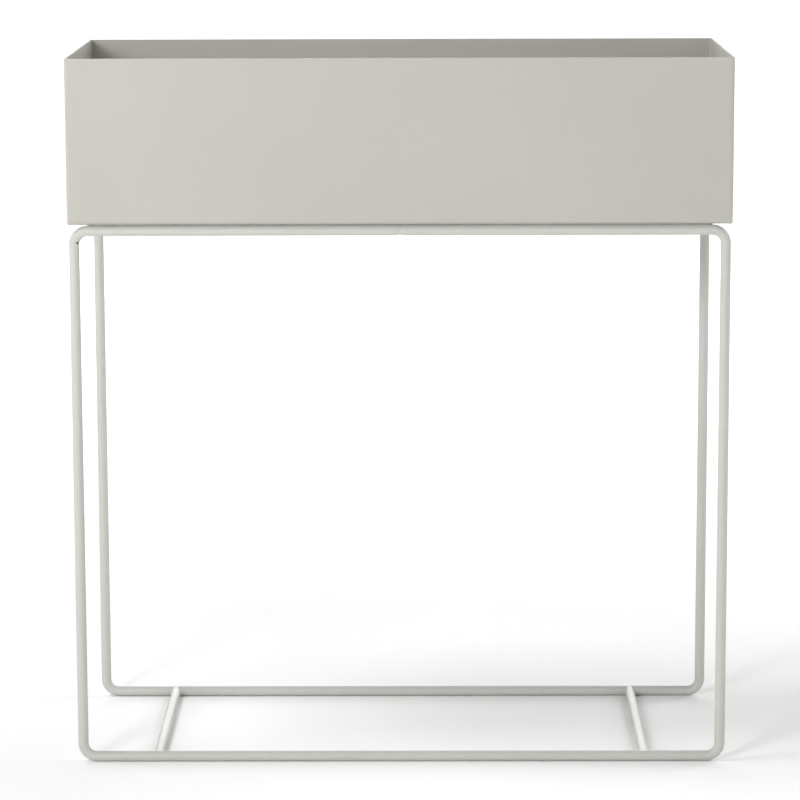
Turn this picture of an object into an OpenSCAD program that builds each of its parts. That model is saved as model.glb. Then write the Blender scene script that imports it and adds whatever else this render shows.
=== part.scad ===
// Raised planter: a folded sheet tub standing on two bent tube loops.
// +X runs to the right, the front faces -Y and +Z is up.
// The origin is on the floor, under the middle of the object. Millimetres.

/* [Overall] */
// Width of the tub, left to right
overall_w = 600; // [500:10:700]
// Depth of the tub, front to back
overall_d = 250; // [220:5:300]
// Height from the floor to the rim
overall_h = 650; // [560:1:720]

/* [Tub] */
// Height of the tub, from its underside to the rim
tub_h = 150; // [120:5:200]
// Thickness of the folded sheet
sheet_t = 1.5; // [1.2:0.1:1.5]
// Outer radius of the upright corners
corner_r = 3; // [2.5:0.5:6]
// Outer radius of the folds between the floor and the front and rear walls
fold_r = 5; // [3:0.5:8]
// Outer radius of the welded edge between the floor and an end panel
end_edge_r = 1.8; // [1.7:0.1:3]
// Width of the returns folded round the corners from each end panel
return_w = 12; // [9:1:30]

/* [Frame] */
// Outer diameter of the loop tube
tube_d = 9.5; // [8:0.5:14]
// Wall of the tube
tube_wall = 1.2; // [0.8:0.1:1.8]
// Width across the outside of a loop
loop_w = 598; // [480:1:680]
// Radius of the tube's bends, at its centreline
bend_r = 12.5; // [10:0.5:30]
// Distance of each loop's centreline behind the tub's face
loop_inset = 6; // [6:0.5:20]
// Distance of the cross members from the middle
cross_x = 225; // [120:1:240]
// Diameter of the lower cross bars
bar_d = 9.2; // [7:0.1:9.4]
// Width of the flat straps under the tub
strap_w = 25; // [18:1:40]
// Thickness of the flat straps
strap_t = 3; // [2:0.5:4]
// Diameter of the vent hole in each loop
vent_d = 2; // [2:0.1:3]
// Distance of the vent hole inboard of the leg's centreline
vent_offset = 3.3; // [0:0.1:3.5]
// Height of the vent hole above the start of the bend
vent_rise = 2; // [0:0.5:4]

/* [Rest strips] */
// Thickness of a rest strip, on top of the tube
strip_t = 0.8; // [0.6:0.1:2]
// Width of a rest strip
strip_w = 4; // [3:0.5:7]
// How far a strip reaches down round the tube
strip_wrap = 0.45; // [0.4:0.05:0.8]

/* [Fixings] */
// Diameter of the tub's weld studs
stud_d = 5; // [4:1:6]
// Distance of each stud from the middle, front to back
stud_y = 80; // [40:1:95]
// Diameter of the clearance holes for the studs
stud_hole_d = 5.5; // [5.4:0.1:7]
// Outer diameter of the spacer bushes
spacer_d = 12; // [10:0.5:16]
// Outer diameter of the steel washers
washer_d = 10; // [9:0.5:14]
// Thickness of the steel washers
washer_t = 1; // [0.8:0.1:1.6]
// Width of the hexagon nuts across their flats
nut_flats = 8; // [7:0.5:10]
// Height of the hexagon nuts
nut_h = 4; // [3:0.5:5]
// Length of stud that stands out below the nut
stud_tail = 2; // [1:0.5:6]

/* [Hidden] */
$fn = 48;

tub_coat = [0.79, 0.785, 0.755];
frame_coat = [0.78, 0.775, 0.745];
rubber_grey = [0.5, 0.5, 0.49];
zinc = [0.70, 0.71, 0.72];

tub_z = overall_h - tub_h;
tube_r = tube_d / 2;
loop_top = tub_z - strip_t;
loop_y = overall_d / 2 - loop_inset;
leg_x = loop_w / 2 - tube_r;
bend_x = leg_x - bend_r;
low_bend_z = tube_r + bend_r;
high_bend_z = loop_top - tube_r - bend_r;
run_z = loop_top - tube_r;
strap_top = run_z + strap_t / 2;
strap_bottom = strap_top - strap_t;
washer_bottom = strap_bottom - washer_t;
nut_bottom = washer_bottom - nut_h;
nut_corners = nut_flats / cos(30);
nut_bore_d = stud_d + 0.1;
cut = 5;
STUDS = [for (x = [-cross_x, cross_x], y = [-stud_y, stud_y]) [x, y]];

// A rectangle with round corners, centred
module round_rectangle(w, d, r) {
    square([w - 2 * r, d], center = true);
    square([w, d - 2 * r], center = true);
    for (x = [-1, 1], y = [-1, 1])
        translate([x * (w / 2 - r), y * (d / 2 - r)]) circle(r);
}

// A block's side view: square at the top, with round corners at the bottom
module round_foot(w, h, r) {
    translate([-w / 2, r]) square([w, h - r]);
    translate([r - w / 2, 0]) square([w - 2 * r, h]);
    for (x = [-1, 1]) translate([x * (w / 2 - r), r]) circle(r);
}

// A block standing on z = 0, with round upright corners, long bottom edges and end bottom edges
module round_block(w, d, h, upright_r, long_r, end_r) {
    intersection() {
        linear_extrude(h) round_rectangle(w, d, upright_r);
        translate([0, d, 0]) rotate([90, 0, 0]) linear_extrude(2 * d) round_foot(w, h, end_r);
        translate([-w, 0, 0]) rotate([90, 0, 90]) linear_extrude(2 * w) round_foot(d, h, long_r);
    }
}

// The whole tub's skin, before it is divided into its sheets
module tub_skin() {
    translate([0, 0, tub_z]) difference() {
        round_block(overall_w, overall_d, tub_h, corner_r, fold_r, end_edge_r);
        translate([0, 0, sheet_t])
            round_block(overall_w - 2 * sheet_t, overall_d - 2 * sheet_t, tub_h,
                        corner_r - sheet_t, fold_r - sheet_t, end_edge_r - sheet_t);
    }
}

// A region of the tub between two distances along X
module tub_slice(x0, x1) {
    translate([x0, -overall_d, tub_z - cut]) cube([x1 - x0, 2 * overall_d, tub_h + 2 * cut]);
}

module tub_channel() {
    color(tub_coat) intersection() {
        tub_skin();
        tub_slice(return_w - overall_w / 2, overall_w / 2 - return_w);
    }
}

module left_end_panel() {
    color(tub_coat) intersection() {
        tub_skin();
        tub_slice(-overall_w / 2 - cut, return_w - overall_w / 2);
    }
}

module right_end_panel() {
    color(tub_coat) intersection() {
        tub_skin();
        tub_slice(overall_w / 2 - return_w, overall_w / 2 + cut);
    }
}

// A rod of the loop's path: four straight runs and four bends, in the XZ plane
module loop_path(d) {
    for (z = [tube_r, run_z])
        translate([-bend_x, 0, z]) rotate([0, 90, 0]) cylinder(d = d, h = 2 * bend_x);
    for (x = [-leg_x, leg_x])
        translate([x, 0, low_bend_z]) cylinder(d = d, h = high_bend_z - low_bend_z);
    for (s = [-1, 1])
        translate([s * bend_x, 0, high_bend_z]) rotate([90, 0, 0])
            rotate([0, 0, s > 0 ? 0 : 90]) rotate_extrude(angle = 90) translate([bend_r, 0]) circle(d = d);
    for (s = [-1, 1])
        translate([s * bend_x, 0, low_bend_z]) rotate([90, 0, 0])
            rotate([0, 0, s > 0 ? 270 : 180]) rotate_extrude(angle = 90) translate([bend_r, 0]) circle(d = d);
}

// One closed loop of bent tube, with its vent hole on the outward face
module tube_loop() {
    difference() {
        loop_path(tube_d);
        loop_path(tube_d - 2 * tube_wall);
        translate([vent_offset - leg_x, 0, high_bend_z + vent_rise])
            rotate([90, 0, 0]) cylinder(d = vent_d, h = tube_d);
    }
}

module front_loop() { color(frame_coat) translate([0, -loop_y, 0]) tube_loop(); }

module rear_loop() { color(frame_coat) rotate([0, 0, 180]) translate([0, -loop_y, 0]) tube_loop(); }

// The space taken by the two loops' runs at one height, which trims what meets them
module runs_at(z) {
    for (y = [-loop_y, loop_y])
        translate([-overall_w / 2, y, z]) rotate([0, 90, 0]) cylinder(d = tube_d, h = overall_w);
}

module lower_cross_bar(x) {
    color(frame_coat) difference() {
        translate([x, loop_y, tube_r]) rotate([90, 0, 0]) cylinder(d = bar_d, h = 2 * loop_y);
        translate([x, overall_d / 2, tube_r]) rotate([90, 0, 0])
            cylinder(d = bar_d - 2 * tube_wall, h = overall_d);
        runs_at(tube_r);
    }
}

module left_lower_cross_bar() { lower_cross_bar(-cross_x); }
module right_lower_cross_bar() { lower_cross_bar(cross_x); }

module upper_strap(x) {
    color(frame_coat) difference() {
        translate([x - strap_w / 2, -loop_y, strap_bottom]) cube([strap_w, 2 * loop_y, strap_t]);
        for (y = [-stud_y, stud_y])
            translate([x, y, strap_bottom - cut]) cylinder(d = stud_hole_d, h = strap_t + 2 * cut);
        runs_at(run_z);
    }
}

module left_upper_strap() { upper_strap(-cross_x); }
module right_upper_strap() { upper_strap(cross_x); }

module rest_strip(y) {
    color(rubber_grey) difference() {
        translate([-bend_x, y - strip_w / 2, loop_top - strip_wrap])
            cube([2 * bend_x, strip_w, strip_t + strip_wrap]);
        runs_at(run_z);
    }
}

module front_rest_strip() { rest_strip(-loop_y); }
module rear_rest_strip() { rest_strip(loop_y); }

// A ring of any size, standing on z
module ring(outer_d, inner_d, z, h) {
    difference() {
        translate([0, 0, z]) cylinder(d = outer_d, h = h);
        translate([0, 0, z - cut]) cylinder(d = inner_d, h = h + 2 * cut);
    }
}

module weld_studs() {
    color(zinc) for (p = STUDS)
        translate([p.x, p.y, nut_bottom - stud_tail]) cylinder(d = stud_d, h = tub_z - nut_bottom + stud_tail);
}

module spacer_bushes() {
    color(rubber_grey) for (p = STUDS)
        translate([p.x, p.y, 0]) ring(spacer_d, stud_hole_d, strap_top, tub_z - strap_top);
}

module washers() {
    color(zinc) for (p = STUDS)
        translate([p.x, p.y, 0]) ring(washer_d, stud_hole_d, washer_bottom, washer_t);
}

module hex_nuts() {
    color(zinc) for (p = STUDS) translate([p.x, p.y, 0]) difference() {
        translate([0, 0, nut_bottom]) cylinder(d = nut_corners, h = nut_h, $fn = 6);
        translate([0, 0, nut_bottom - cut]) cylinder(d = nut_bore_d, h = nut_h + 2 * cut);
    }
}

tub_channel();
left_end_panel();
right_end_panel();
front_loop();
rear_loop();
left_lower_cross_bar();
right_lower_cross_bar();
left_upper_strap();
right_upper_strap();
front_rest_strip();
rear_rest_strip();
weld_studs();
spacer_bushes();
washers();
hex_nuts();
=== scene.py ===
import math

import bmesh
import bpy
from mathutils import Matrix, Vector, noise


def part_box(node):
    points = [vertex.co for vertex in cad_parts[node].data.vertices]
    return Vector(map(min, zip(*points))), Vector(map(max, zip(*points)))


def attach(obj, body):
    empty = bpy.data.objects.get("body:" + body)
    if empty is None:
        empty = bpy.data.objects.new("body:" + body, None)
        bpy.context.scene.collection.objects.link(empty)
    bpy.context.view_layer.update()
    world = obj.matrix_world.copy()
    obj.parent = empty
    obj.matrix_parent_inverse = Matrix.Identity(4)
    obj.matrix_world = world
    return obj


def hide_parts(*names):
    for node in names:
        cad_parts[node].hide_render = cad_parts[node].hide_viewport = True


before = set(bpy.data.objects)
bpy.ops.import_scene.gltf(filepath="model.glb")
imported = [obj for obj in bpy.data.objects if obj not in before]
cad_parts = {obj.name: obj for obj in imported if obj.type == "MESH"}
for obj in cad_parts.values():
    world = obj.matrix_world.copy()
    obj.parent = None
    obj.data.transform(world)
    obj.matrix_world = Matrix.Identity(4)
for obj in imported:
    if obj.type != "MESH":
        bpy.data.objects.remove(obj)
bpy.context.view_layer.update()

# ---------------------------------------------------------------- driving sizes, in metres
MM = 0.001
SHEET = 1.5 * MM            # thickness of the tub's sheet
CORNER_R = 3.0 * MM         # outer radius of the upright corners
FOLD_R = 5.0 * MM           # outer radius of the long folds at the floor
END_EDGE_R = 1.8 * MM       # outer radius of the welded edge under an end panel
LEAST_INNER_R = 0.3 * MM    # the tightest inner radius
LEAST_R = 0.4 * MM          # the tightest radius left where a fold runs into a corner
RIM_R = 0.35 * MM           # rounding of the rim's cut edge
TUBE_WALL = 1.2 * MM        # wall of the loops and bars
BEND_R = 12.5 * MM          # bend radius of the tube, at its centreline
VENT_R = 1.0 * MM           # vent hole in each loop
VENT_INBOARD = 3.3 * MM     # the vent hole's distance inboard of the leg's centreline
VENT_RISE = 2.0 * MM        # the vent hole's height above the start of the bend
SUPPORT = 0.35 * MM         # edge loops laid this far from a curve keep the flats flat
BUTT_WELD_REACH = 8 * MM    # how far the ground butt weld shows, each side of the middle
BAR_WELD = 1.7 * MM         # leg of the fillet weld round a cross bar's end
STRAP_WELD = 1.5 * MM       # leg of the fillet weld along a strap's end
STRAP_EDGE_R = 0.7 * MM     # rolled edge of a strap
STRIP_EDGE_R = 0.3 * MM     # moulded edge of a rest strip
STUD_R = 2.5 * MM           # outside of the stud's thread
STUD_HOLE_R = 2.75 * MM     # clearance hole for a stud
STUD_POINT = 0.6 * MM       # height of the chamfer at the stud's end
STUD_POINT_R = 0.5 * MM     # how far that chamfer goes in
STUD_PLAIN = 1.5 * MM       # plain stretch of the stud, next to the tub
THREAD_PITCH = 0.8 * MM
THREAD_DEPTH = 0.42 * MM
BUSH_EDGE_R = 0.4 * MM
WASHER_EDGE_R = 0.15 * MM
NUT_FLAT_R = 4.0 * MM       # half the nut's width across its flats
NUT_CHAMFER_R = 3.85 * MM   # radius at which the nut's chamfer starts
NUT_BORE_R = 2.55 * MM
NUT_LIP = 0.3 * MM          # countersink at each end of the nut's bore

CHANNEL_LOW, CHANNEL_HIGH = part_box("tub_channel")
LOOP_LOW, LOOP_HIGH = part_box("front_loop")
TUBE_R = (LOOP_HIGH.y - LOOP_LOW.y) / 2
LOOP_Y = -(LOOP_HIGH.y + LOOP_LOW.y) / 2
LEG_X = LOOP_HIGH.x - TUBE_R
RUN_Z = LOOP_HIGH.z - TUBE_R
BEND_X = LEG_X - BEND_R


# ---------------------------------------------------------------- helpers
def arc(steps, start, stop):
    """Angles from start to stop, in degrees, both ends included."""
    return [math.radians(start + (stop - start) * i / steps) for i in range(steps + 1)]


def smooth(mesh, angle=32.0):
    """Shades a mesh smooth, apart from edges sharper than an angle."""
    mesh.polygons.foreach_set("use_smooth", [True] * len(mesh.polygons))
    mesh.set_sharp_from_angle(angle=math.radians(angle))


def link_bmesh(name, bm, material=None):
    """Turns a bmesh into an object in the scene."""
    mesh = bpy.data.meshes.new(name)
    bm.to_mesh(mesh)
    bm.free()
    if material:
        mesh.materials.append(material)
    made = bpy.data.objects.new(name, mesh)
    bpy.context.scene.collection.objects.link(made)
    return made


def make_object(name, bm, material, replaces=(), smooth_angle=32.0):
    """Turns a bmesh into a piece that rides on the root body."""
    bmesh.ops.remove_doubles(bm, verts=bm.verts, dist=1e-7)
    bmesh.ops.recalc_face_normals(bm, faces=bm.faces)
    piece = link_bmesh(name, bm, material)
    smooth(piece.data, smooth_angle)
    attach(piece, "root")
    if replaces:
        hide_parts(*replaces)
    return piece


def add_rings(bm, rings, close_ring=True, close_ends=False, caps=False):
    """Joins rings of points, each the same length, with quads. Returns the rings' vertices.
    close_ends joins the last ring to the first, and caps fills both of them."""
    made = [[bm.verts.new(p) for p in ring] for ring in rings]
    count = len(made[0])
    spans = len(made) if close_ends else len(made) - 1
    for i in range(spans):
        a, b = made[i], made[(i + 1) % len(made)]
        for j in range(count if close_ring else count - 1):
            k = (j + 1) % count
            bm.faces.new((a[j], a[k], b[k], b[j]))
    if caps:
        bm.faces.new(made[0])
        bm.faces.new(made[-1])
    return made


def lathe(bm, centre, profile, steps=48):
    """Turns a closed (radius, height) profile about a vertical axis through centre."""
    rings = [[centre + Vector((r * math.cos(t), r * math.sin(t), z)) for r, z in profile]
             for t in arc(steps, 0, 360)[:-1]]
    add_rings(bm, rings, close_ring=True, close_ends=True)


def rounded_band(inner_r, outer_r, low, high, soft, steps=4):
    """A closed (radius, height) profile of a ring with its four edges rounded."""
    corners = [(outer_r - soft, low + soft, -90), (outer_r - soft, high - soft, 0),
               (inner_r + soft, high - soft, 90), (inner_r + soft, low + soft, 180)]
    return [(r + soft * math.cos(t), z + soft * math.sin(t))
            for r, z, start in corners for t in arc(steps, start, start + 90)]


def cut(piece, cutter_bm):
    """Cuts a closed shape out of a piece, and leaves no modifier behind."""
    cutter = link_bmesh(piece.name + "_cutter", cutter_bm)
    boolean = piece.modifiers.new("cut", "BOOLEAN")
    boolean.operation = "DIFFERENCE"
    boolean.solver = "EXACT"
    boolean.object = cutter
    bpy.context.view_layer.update()
    evaluated = piece.evaluated_get(bpy.context.evaluated_depsgraph_get())
    result = bpy.data.meshes.new_from_object(evaluated)
    piece.modifiers.clear()
    material = piece.data.materials[0]
    piece.data = result
    result.materials.clear()
    result.materials.append(material)
    smooth(result)
    bpy.data.objects.remove(cutter)


def rod(centre, direction, radius, length, steps=40):
    """A closed round rod, for cutting holes."""
    bm = bmesh.new()
    turn = Vector((0, 0, 1)).rotation_difference(direction).to_matrix().to_4x4()
    bmesh.ops.create_cone(bm, cap_ends=True, segments=steps, radius1=radius, radius2=radius,
                          depth=length, matrix=Matrix.Translation(centre) @ turn)
    return bm


# ---------------------------------------------------------------- materials
def new_material(name):
    """A material, its node tree and its shader."""
    material = bpy.data.materials.new(name)
    material.use_nodes = True
    tree = material.node_tree
    return material, tree, tree.nodes["Principled BSDF"]


def object_noise(tree, scale, detail=2.0, roughness=0.5, stretch=(1, 1, 1)):
    """Noise in the object's own space, so that it stays fixed to the surface."""
    place = tree.nodes.new("ShaderNodeTexCoord")
    mapping = tree.nodes.new("ShaderNodeMapping")
    mapping.inputs["Scale"].default_value = stretch
    texture = tree.nodes.new("ShaderNodeTexNoise")
    texture.inputs["Scale"].default_value = scale
    texture.inputs["Detail"].default_value = detail
    texture.inputs["Roughness"].default_value = roughness
    tree.links.new(place.outputs["Object"], mapping.inputs["Vector"])
    tree.links.new(mapping.outputs["Vector"], texture.inputs["Vector"])
    return texture.outputs["Fac"]


def remap(tree, value, low, high, from_low=0.3, from_high=0.7):
    """Stretches a value to run from low to high, and holds it there."""
    node = tree.nodes.new("ShaderNodeMapRange")
    node.inputs["From Min"].default_value = from_low
    node.inputs["From Max"].default_value = from_high
    node.inputs["To Min"].default_value = low
    node.inputs["To Max"].default_value = high
    tree.links.new(value, node.inputs["Value"])
    return node.outputs["Result"]


def mix_colours(tree, factor, first, second):
    """A blend of two colours."""
    node = tree.nodes.new("ShaderNodeMix")
    node.data_type = "RGBA"
    node.inputs["A"].default_value = (*first, 1)
    node.inputs["B"].default_value = (*second, 1)
    tree.links.new(factor, node.inputs["Factor"])
    return node.outputs["Result"]


def bump(tree, height, strength, distance, normal=None):
    """Relief from a height, laid over another relief if there is one."""
    node = tree.nodes.new("ShaderNodeBump")
    node.inputs["Strength"].default_value = strength
    node.inputs["Distance"].default_value = distance
    tree.links.new(height, node.inputs["Height"])
    if normal is not None:
        tree.links.new(normal, node.inputs["Normal"])
    return node.outputs["Normal"]


def powder_coat(name, colour, roughness):
    """Satin powder coat: a soft orange peel under a fine grain, with a faint drift in tone."""
    material, tree, shader = new_material(name)
    drift = remap(tree, object_noise(tree, 6.0, 3.0), 0.0, 1.0)
    speck = remap(tree, object_noise(tree, 1400.0, 1.0), 0.0, 1.0)
    pale = [c * 1.02 for c in colour]
    deep = [c * 0.975 for c in colour]
    broad = mix_colours(tree, drift, deep, pale)
    fine = tree.nodes.new("ShaderNodeMix")
    fine.data_type = "RGBA"
    fine.blend_type = "MULTIPLY"
    fine.inputs["Factor"].default_value = 1.0
    tree.links.new(broad, fine.inputs["A"])
    tree.links.new(mix_colours(tree, speck, (0.97, 0.97, 0.97), (1.0, 1.0, 1.0)), fine.inputs["B"])
    tree.links.new(fine.outputs["Result"], shader.inputs["Base Color"])
    shine = remap(tree, object_noise(tree, 180.0, 2.0), roughness - 0.04, roughness + 0.04)
    tree.links.new(shine, shader.inputs["Roughness"])
    peel = bump(tree, object_noise(tree, 420.0, 2.0), 0.35, 0.05 * MM)
    grain = bump(tree, object_noise(tree, 2600.0, 1.0), 0.35, 0.02 * MM, peel)
    tree.links.new(grain, shader.inputs["Normal"])
    shader.inputs["Specular IOR Level"].default_value = 0.5
    return material


def rubber(name):
    """Matt grey rubber with a fine moulded grain and a little bloom."""
    material, tree, shader = new_material(name)
    bloom = remap(tree, object_noise(tree, 90.0, 4.0), 0.0, 1.0)
    tree.links.new(mix_colours(tree, bloom, (0.20, 0.20, 0.19), (0.26, 0.26, 0.25)),
                   shader.inputs["Base Color"])
    tree.links.new(remap(tree, object_noise(tree, 300.0), 0.72, 0.88), shader.inputs["Roughness"])
    tree.links.new(bump(tree, object_noise(tree, 1800.0), 0.5, 0.04 * MM), shader.inputs["Normal"])
    return material


def zinc_plate(name):
    """Bright zinc plate: a pale metal, clouded, with fine turning marks."""
    material, tree, shader = new_material(name)
    cloud = remap(tree, object_noise(tree, 260.0, 4.0), 0.0, 1.0)
    tree.links.new(mix_colours(tree, cloud, (0.56, 0.57, 0.59), (0.70, 0.71, 0.72)),
                   shader.inputs["Base Color"])
    tree.links.new(remap(tree, object_noise(tree, 700.0), 0.28, 0.42), shader.inputs["Roughness"])
    marks = object_noise(tree, 900.0, 2.0, 0.6, (1, 1, 8))
    tree.links.new(bump(tree, marks, 0.25, 0.02 * MM), shader.inputs["Normal"])
    shader.inputs["Metallic"].default_value = 1.0
    return material


def studio_white(name, near, far, glow):
    """Seamless white paper, which gives off a little light of its own away from the object."""
    material, tree, shader = new_material(name)
    mottle = remap(tree, object_noise(tree, 3.0, 2.0), 0.0, 1.0)
    tree.links.new(mix_colours(tree, mottle, (0.90, 0.90, 0.90), (0.92, 0.92, 0.92)),
                   shader.inputs["Base Color"])
    shader.inputs["Roughness"].default_value = 0.75
    shader.inputs["Specular IOR Level"].default_value = 0.1
    place = tree.nodes.new("ShaderNodeTexCoord")
    distance = tree.nodes.new("ShaderNodeVectorMath")
    distance.operation = "LENGTH"
    tree.links.new(place.outputs["Object"], distance.inputs[0])
    strength = remap(tree, distance.outputs["Value"], 0.0, glow, near, far)
    shader.inputs["Emission Color"].default_value = (1, 1, 1, 1)
    tree.links.new(strength, shader.inputs["Emission Strength"])
    return material


TUB_COAT = powder_coat("tub_powder_coat", (0.408, 0.400, 0.362), 0.50)
FRAME_COAT = powder_coat("frame_powder_coat", (0.476, 0.471, 0.440), 0.38)
RUBBER = rubber("grey_rubber")
ZINC = zinc_plate("bright_zinc")


# ---------------------------------------------------------------- tub
def wall_section(fold_r=FOLD_R):
    """The wall's section as (inset, height) points: up the outside, over the rim and down the inside."""
    height = CHANNEL_HIGH.z - CHANNEL_LOW.z
    fold = arc(10, 270, 180)
    outside = [(fold_r + fold_r * math.cos(t), fold_r + fold_r * math.sin(t)) for t in fold]
    outside += [(0, fold_r + SUPPORT), (0, height - RIM_R - SUPPORT)]
    rim = [(inset + RIM_R * math.cos(t), height - RIM_R + RIM_R * math.sin(t))
           for inset, start in ((RIM_R, 180), (SHEET - RIM_R, 90)) for t in arc(4, start, start - 90)]
    inner_r = max(fold_r - SHEET, LEAST_INNER_R)
    inside = [(SHEET, height - RIM_R - SUPPORT), (SHEET, SHEET + inner_r + SUPPORT)]
    inside += [(SHEET + inner_r + inner_r * math.cos(t), SHEET + inner_r + inner_r * math.sin(t))
               for t in reversed(fold)]
    return outside + rim + inside


def tub_channel():
    """Front wall, floor and rear wall, one sheet with two folds."""
    section = wall_section()
    front = [(CHANNEL_LOW.y + inset, CHANNEL_LOW.z + z) for inset, z in section]
    rear = [(-y, z) for y, z in reversed(front)]
    outline = front + rear
    bm = bmesh.new()
    ends = (CHANNEL_LOW.x, CHANNEL_HIGH.x)
    add_rings(bm, [[Vector((x, y, z)) for y, z in outline] for x in ends], caps=True)
    return make_object("tub_channel_sheet", bm, TUB_COAT, ["tub_channel"])


def end_stations(cut_x, end_x, half_depth):
    """Stations round one end, from the front return's cut edge to the rear's. Each is the radius of
    the fold there, and a function that gives the point on the wall for an inset."""
    def along_return(x, side):
        return lambda inset: (x, side * (half_depth - inset))

    def corner(angle, side):
        def at(inset):
            r = max(CORNER_R - inset, LEAST_R)
            return (end_x - inset - r + r * math.cos(angle),
                    side * (half_depth - inset - r + r * math.sin(angle)))
        return at

    def along_end(side):
        def at(inset):
            r = max(CORNER_R - inset, LEAST_R)
            return (end_x - inset, side * (half_depth - inset - r - SUPPORT))
        return at

    def half(side):
        start_x = end_x - FOLD_R - LEAST_R - SUPPORT
        stations = [(FOLD_R, along_return(x, side)) for x in (cut_x, start_x)]
        stations += [(END_EDGE_R + (FOLD_R - END_EDGE_R) * math.sin(t), corner(t, side))
                     for t in arc(10, 90, 0)]
        return stations + [(END_EDGE_R, along_end(side))]

    return half(-1) + half(1)[::-1]


def end_panel(side, name, node):
    """An end wall with its returns folded round the corners and under the floor."""
    low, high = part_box(node)
    cut_x, end_x = (low.x, high.x) if side > 0 else (-high.x, -low.x)
    stations = end_stations(cut_x, end_x, high.y)
    rings = [[Vector((side * at(inset)[0], at(inset)[1], low.z + z)) for inset, z in wall_section(fold_r)]
             for fold_r, at in stations]
    bm = bmesh.new()
    made = add_rings(bm, rings, close_ring=False)
    count = len(made)
    for i in range(count // 2 - 1):
        for edge in (0, -1):
            bm.faces.new([made[k][edge] for k in (i, i + 1, count - 2 - i, count - 1 - i)])
    bm.faces.new(made[0] + made[-1][::-1])
    return make_object(name, bm, TUB_COAT, [node])


# ---------------------------------------------------------------- frame
def loop_path():
    """The loop's centreline as (x, z, outward x, outward z), from the middle of the top run round
    to the right. The stations gather at the butt weld, which is at the middle of the top run."""
    weld = [0.0, 0.6, 1.2, 1.8, 2.4, 3.0, 3.6, 4.4, 5.5, 8.0]
    half_top = [(x * MM, RUN_Z, 0.0, 1.0) for x in weld]
    bends = [(RUN_Z - BEND_R, t) for t in arc(20, 90, 0)]
    bends += [(TUBE_R + BEND_R, t) for t in arc(20, 0, -90)]
    half = half_top + [(BEND_X + BEND_R * math.cos(t), z + BEND_R * math.sin(t),
                        math.cos(t), math.sin(t)) for z, t in bends]
    return half + [(-x, z, -nx, nz) for x, z, nx, nz in reversed(half[1:])]


def weld_waist(x, z, angle):
    """How far the ground-back butt weld stands below the tube, with a faint ridge each side."""
    if z < RUN_Z - TUBE_R or abs(x) > BUTT_WELD_REACH:
        return 0.0
    depth, waist_reach = 0.50, 2.2                      # these are all in millimetres
    ridge, ridge_place, ridge_reach = 0.05, 3.6, 0.8
    ripple, ripple_reach = 0.04, 2.6
    u = abs(x) / MM
    return (-depth * math.exp(-(u / waist_reach) ** 4)
            + ridge * math.exp(-((u - ridge_place) / ridge_reach) ** 2)
            + ripple * math.sin(3 * angle + 1.0) * math.exp(-(u / ripple_reach) ** 2)) * MM


def tube_loop(side, name, node):
    """One closed loop of bent tube, hollow, with a butt weld and a vent hole."""
    bm = bmesh.new()
    for radius, steps in ((TUBE_R, 56), (TUBE_R - TUBE_WALL, 24)):
        rings = []
        for x, z, nx, nz in loop_path():
            ring = []
            for t in arc(steps, 0, 360)[:-1]:
                r = radius + (weld_waist(x, z, t) if radius == TUBE_R else 0.0)
                out, across = r * math.cos(t), r * math.sin(t)
                ring.append(Vector((x + nx * out, side * -LOOP_Y + across, z + nz * out)))
            rings.append(ring)
        made = add_rings(bm, rings, close_ring=True, close_ends=True)
        if radius < TUBE_R:
            inner_faces = {face for ring in made for vert in ring for face in vert.link_faces}
            bmesh.ops.reverse_faces(bm, faces=list(inner_faces))
    piece = link_bmesh(name, bm, FRAME_COAT)
    vent = Vector((side * (VENT_INBOARD - LEG_X), side * (-LOOP_Y - TUBE_R),
                   RUN_Z - BEND_R + VENT_RISE))
    cut(piece, rod(vent, Vector((0, 1, 0)), VENT_R, 2 * TUBE_R))
    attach(piece, "root")
    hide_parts(node)
    return piece


def saddle_at(rise):
    """How far from the middle a loop's tube begins, at a height above or below its centreline."""
    return LOOP_Y - math.sqrt(max(TUBE_R ** 2 - rise ** 2, 0.0))


def saddle(radius, angle):
    """The same for a line along a bar, at an angle round it."""
    return saddle_at(radius * math.sin(angle))


def cross_bar(x, name, node):
    """A straight tube between the loops, its ends cut to the round of theirs."""
    low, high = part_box(node)
    outer = (high.x - low.x) / 2
    centre_z = (high.z + low.z) / 2
    shares = [-1, -0.985, -0.5, 0, 0.5, 0.985, 1]
    rings = []
    for radius, order in ((outer, shares), (outer - TUBE_WALL, shares[::-1])):
        for share in order:
            rings.append([Vector((x + radius * math.cos(t), share * saddle(radius, t),
                                  centre_z + radius * math.sin(t))) for t in arc(48, 0, 360)[:-1]])
    bm = bmesh.new()
    add_rings(bm, rings, close_ring=True, close_ends=True)
    return make_object(name, bm, FRAME_COAT, [node])


def bead(angle, seed):
    """The size of a hand-laid weld bead at an angle round the bar: its ripples and unevenness."""
    ripple = 0.16 * abs(math.sin(angle * 9 + seed))
    drift = 0.22 * noise.noise(Vector((math.cos(angle) * 1.3, math.sin(angle) * 1.3, seed * 2.7)))
    return 1.0 + ripple + drift


def fillet(on_first, on_second, root, lean, tuck):
    """A weld bead's section: a curve from one part to the other, closed by a point at its root."""
    middle = (on_first + on_second) / 2
    bulge = middle + (middle - root) * lean
    curve = [(1 - s) ** 2 * on_first + 2 * s * (1 - s) * bulge + s ** 2 * on_second
             for s in (k / 6 for k in range(7))]
    return curve + [root + (root - bulge) * tuck]


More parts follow.
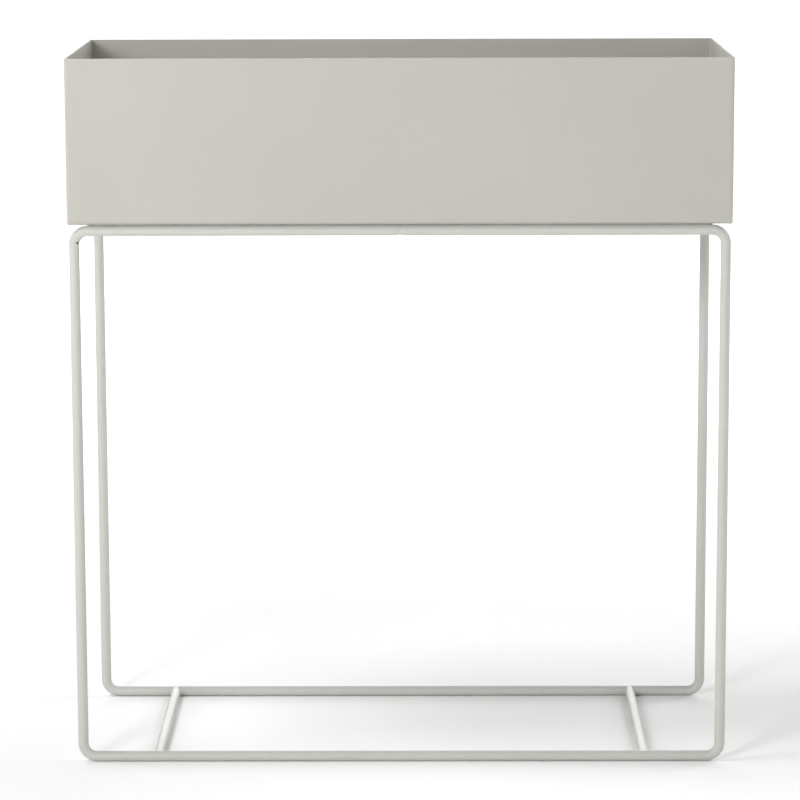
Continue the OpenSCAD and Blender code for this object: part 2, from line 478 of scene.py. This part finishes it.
def bar_weld(x, side, bar_r, centre_z, name, seed):
    """A small fillet of weld where a bar meets a loop. It fades out towards the floor."""
    turn = arc(72, -68, 248)
    fade_angle = 0.5
    rings = []
    for t in turn:
        fade = min(1.0, (t - turn[0]) / fade_angle, (turn[-1] - t) / fade_angle)
        size = BAR_WELD * bead(t, seed) * max(fade, 0.05)
        across, rise = x + bar_r * math.cos(t), bar_r * math.sin(t)
        root_y = saddle(bar_r, t)
        reach = bar_r + size
        up = max(-TUBE_R * 0.97, min(TUBE_R * 0.97, reach * math.sin(t)))
        on_bar = Vector((across, root_y - size, rise))
        on_loop = Vector((x + reach * math.cos(t), saddle_at(up), up))
        ring = fillet(on_bar, on_loop, Vector((across, root_y, rise)), -0.15, 0.25)
        rings.append([Vector((p.x, side * p.y, centre_z + p.z)) for p in ring])
    bm = bmesh.new()
    add_rings(bm, rings, caps=True)
    return make_object(name, bm, FRAME_COAT, smooth_angle=50)


def strap(x, name, node):
    """A flat strap with rolled edges between the loops, drilled for two studs."""
    low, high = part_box(node)
    centre_z = (low.z + high.z) / 2
    half_w, half_t = (high.x - low.x) / 2, (high.z - low.z) / 2
    outline = []
    for cx, cz, start in ((1, 1, 0), (-1, 1, 90), (-1, -1, 180), (1, -1, 270)):
        outline += [(cx * (half_w - STRAP_EDGE_R) + STRAP_EDGE_R * math.cos(t),
                     cz * (half_t - STRAP_EDGE_R) + STRAP_EDGE_R * math.sin(t))
                    for t in arc(5, start, start + 90)]
    rings = []
    for side in (-1, 1):
        rings.append([Vector((x + u, side * saddle_at(centre_z + v - RUN_Z), centre_z + v))
                      for u, v in outline])
    bm = bmesh.new()
    add_rings(bm, rings, caps=True)
    piece = make_object(name, bm, FRAME_COAT, [node])
    for y in stud_rows():
        cut(piece, rod(Vector((x, y, centre_z)), Vector((0, 0, 1)), STUD_HOLE_R, 4 * half_t))
    return piece


def strap_weld(x, side, upper, half_w, half_t, name, seed):
    """A bead of weld along the edge where a strap meets a loop, above or below it."""
    level = RUN_Z + upper * half_t
    loop_face = saddle_at(half_t)
    steps, fade_share = 44, 0.08
    rings = []
    for i in range(steps + 1):
        s = i / steps
        across = x + (2 * s - 1) * half_w * 0.94
        fade = min(1.0, s / fade_share, (1 - s) / fade_share)
        size = STRAP_WELD * bead(s * 6, seed) * max(fade, 0.08)
        rise = min(half_t + size, TUBE_R * 0.95)
        on_strap = Vector((across, loop_face - size, level))
        on_loop = Vector((across, saddle_at(rise), RUN_Z + upper * rise))
        ring = fillet(on_strap, on_loop, Vector((across, loop_face, level)), -0.1, 0.2)
        rings.append([Vector((p.x, side * p.y, p.z)) for p in ring])
    bm = bmesh.new()
    add_rings(bm, rings, caps=True)
    return make_object(name, bm, FRAME_COAT, smooth_angle=50)


def rest_strip(y, name, node):
    """A rubber strip between a loop's top run and the tub, hollowed to sit on the tube."""
    low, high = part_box(node)
    half = (high.y - low.y) / 2
    outline = [(cy * (half - STRIP_EDGE_R) + STRIP_EDGE_R * math.cos(t),
                high.z - STRIP_EDGE_R + STRIP_EDGE_R * math.sin(t))
               for cy, start in ((1, 0), (-1, 90)) for t in arc(4, start, start + 90)]
    lean = math.asin(half / TUBE_R)
    outline += [(TUBE_R * math.sin(t), RUN_Z + TUBE_R * math.cos(t))
                for t in arc(10, -math.degrees(lean), math.degrees(lean))]
    bm = bmesh.new()
    add_rings(bm, [[Vector((x, y + v, z)) for v, z in outline] for x in (low.x, high.x)], caps=True)
    return make_object(name, bm, RUBBER, [node])


# ---------------------------------------------------------------- fixings
def stud_rows():
    """The two rows of studs, front and rear."""
    low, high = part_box("weld_studs")
    return (low.y + STUD_R, high.y - STUD_R)


def stud_places():
    """The middle of each stud, seen from above."""
    low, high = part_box("weld_studs")
    return [(x, y) for x in (low.x + STUD_R, high.x - STUD_R) for y in stud_rows()]


def studs():
    """Threaded studs, welded to the underside of the tub's floor."""
    low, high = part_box("weld_studs")
    rows, sides = 110, 32
    bm = bmesh.new()
    for x, y in stud_places():
        rings = []
        for i in range(rows + 1):
            z = low.z + (high.z - low.z) * i / rows
            taper = STUD_POINT_R * max(0.0, 1 - (z - low.z) / STUD_POINT)
            ring = []
            for t in arc(sides, 0, 360)[:-1]:
                phase = ((z - low.z) / THREAD_PITCH - t / (2 * math.pi)) % 1.0
                groove = THREAD_DEPTH * (1 - abs(2 * phase - 1))
                if z > high.z - STUD_PLAIN:
                    groove = 0.0
                r = STUD_R - max(groove, taper)
                ring.append(Vector((x + r * math.cos(t), y + r * math.sin(t), z)))
            rings.append(ring)
        add_rings(bm, rings, caps=True)
    return make_object("threaded_studs", bm, ZINC, ["weld_studs"], smooth_angle=40)


def turned_rings(name, node, material, inner_r, soft):
    """The four bushes or washers, turned with rounded edges."""
    low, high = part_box(node)
    places = stud_places()
    outer_r = high.y - max(y for _, y in places)
    bm = bmesh.new()
    for x, y in places:
        lathe(bm, Vector((x, y, 0)), rounded_band(inner_r, outer_r, low.z, high.z, soft))
    return make_object(name, bm, material, [node])


def nuts():
    """Hexagon nuts with both faces chamfered."""
    low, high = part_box("hex_nuts")
    slope = math.tan(math.radians(30))
    lip_r = NUT_BORE_R + NUT_LIP
    bm = bmesh.new()
    for x, y in stud_places():
        rings = []
        for t in arc(96, 0, 360)[:-1]:
            within = (t % math.radians(60)) - math.radians(30)
            r = NUT_FLAT_R / math.cos(within)
            drop = (r - NUT_CHAMFER_R) * slope
            profile = [(lip_r, low.z), (NUT_CHAMFER_R, low.z), (r, low.z + drop), (r, high.z - drop),
                       (NUT_CHAMFER_R, high.z), (lip_r, high.z), (NUT_BORE_R, high.z - NUT_LIP),
                       (NUT_BORE_R, low.z + NUT_LIP)]
            rings.append([Vector((x + q * math.cos(t), y + q * math.sin(t), z)) for q, z in profile])
        add_rings(bm, rings, close_ring=True, close_ends=True)
    return make_object("chamfered_nuts", bm, ZINC, ["hex_nuts"], smooth_angle=25)


# ---------------------------------------------------------------- assembly
tub_channel()
end_panel(-1, "left_end_sheet", "left_end_panel")
end_panel(1, "right_end_sheet", "right_end_panel")
tube_loop(1, "front_loop_tube", "front_loop")
tube_loop(-1, "rear_loop_tube", "rear_loop")

for side_name in ("left", "right"):
    bar_low, bar_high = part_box(side_name + "_lower_cross_bar")
    bar_x = (bar_low.x + bar_high.x) / 2
    bar_r = (bar_high.x - bar_low.x) / 2
    bar_z = (bar_high.z + bar_low.z) / 2
    cross_bar(bar_x, side_name + "_bar_tube", side_name + "_lower_cross_bar")
    strap(bar_x, side_name + "_strap_bar", side_name + "_upper_strap")
    strap_low, strap_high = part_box(side_name + "_upper_strap")
    strap_half = (Vector(strap_high) - Vector(strap_low)) / 2
    for end_name, end in (("front", -1), ("rear", 1)):
        seed = bar_x * 10 + end
        bar_weld(bar_x, end, bar_r, bar_z, f"{side_name}_{end_name}_bar_weld", seed)
        for face_name, face in (("top", 1), ("under", -1)):
            strap_weld(bar_x, end, face, strap_half.x, strap_half.z,
                       f"{side_name}_{end_name}_strap_{face_name}_weld", seed + face)

rest_strip(-LOOP_Y, "front_strip", "front_rest_strip")
rest_strip(LOOP_Y, "rear_strip", "rear_rest_strip")
studs()
turned_rings("rubber_bushes", "spacer_bushes", RUBBER, STUD_HOLE_R, BUSH_EDGE_R)
turned_rings("flat_washers", "washers", ZINC, STUD_HOLE_R, WASHER_EDGE_R)
nuts()


# ---------------------------------------------------------------- studio
def backdrop():
    """A round floor that sweeps up into a wall on every side, in one curve."""
    floor_r, sweep, top = 4.5, 1.6, 3.6
    outline = [(0.02 * floor_r * k ** 1.5, 0.0) for k in range(1, 13)]
    outline += [(floor_r + sweep * math.sin(t), sweep - sweep * math.cos(t)) for t in arc(24, 0, 90)]
    outline += [(floor_r + sweep, top)]
    rings = [[Vector((r * math.cos(t), r * math.sin(t), z)) for t in arc(96, 0, 360)[:-1]]
             for r, z in outline]
    bm = bmesh.new()
    made = add_rings(bm, rings)
    bm.faces.new(made[0])
    bmesh.ops.recalc_face_normals(bm, faces=bm.faces)
    floor = link_bmesh("studio_floor", bm, studio_white("studio_white", 0.5, 2.0, 0.48))
    floor.data.polygons.foreach_set("use_smooth", [True] * len(floor.data.polygons))


def soft_light(name, place, target, width, height, watts):
    """A rectangular soft light, turned towards a target."""
    data = bpy.data.lights.new(name, "AREA")
    data.shape = "RECTANGLE"
    data.size, data.size_y = width, height
    data.energy = watts
    lamp = bpy.data.objects.new(name, data)
    lamp.location = place
    lamp.rotation_mode = "QUATERNION"
    lamp.rotation_quaternion = (Vector(target) - Vector(place)).to_track_quat("-Z", "Y")
    bpy.context.scene.collection.objects.link(lamp)


def studio_world(strength):
    """An even, faint white all round."""
    world = bpy.data.worlds.new("studio_world")
    world.use_nodes = True
    background = world.node_tree.nodes["Background"]
    background.inputs["Color"].default_value = (1, 1, 1, 1)
    background.inputs["Strength"].default_value = strength
    bpy.context.scene.world = world


def camera():
    """Level with a point above the rim, looking a little down, from over three metres."""
    data = bpy.data.cameras.new("camera")
    data.sensor_width = 36
    data.lens = 157.04
    data.clip_end = 60
    place = (0.0226, -3.2477, 0.8807)
    yaw, pitch, roll = (math.radians(a) for a in (-0.418, 9.822, -0.175))
    forward = Vector((math.sin(yaw) * math.cos(pitch), math.cos(yaw) * math.cos(pitch),
                      -math.sin(pitch)))
    right = Vector((math.cos(yaw), -math.sin(yaw), 0))
    up = right.cross(forward)
    turned_right = right * math.cos(roll) + up * math.sin(roll)
    turned_up = up * math.cos(roll) - right * math.sin(roll)
    basis = Matrix((turned_right, turned_up, -forward)).transposed()
    shot = bpy.data.objects.new("camera", data)
    shot.matrix_world = Matrix.Translation(place) @ basis.to_4x4()
    bpy.context.scene.collection.objects.link(shot)
    bpy.context.scene.camera = shot


backdrop()
studio_world(0.03)
soft_light("key", (-1.18, -2.3, 1.27), (0, 0, 0.35), 0.6, 0.6, 31)
soft_light("left_overhead", (-1.62, -0.29, 3.21), (0, 0, 0.35), 1.2, 1.2, 45)
soft_light("right_rear", (2.37, 0.86, 2.47), (0, 0, 0.35), 1.6, 1.6, 35)
soft_light("rear_panel", (0, 4.2, 1.5), (0, 0, 1.0), 4.0, 1.8, 64)
camera()
bpy.context.scene.view_settings.view_transform = "Standard"
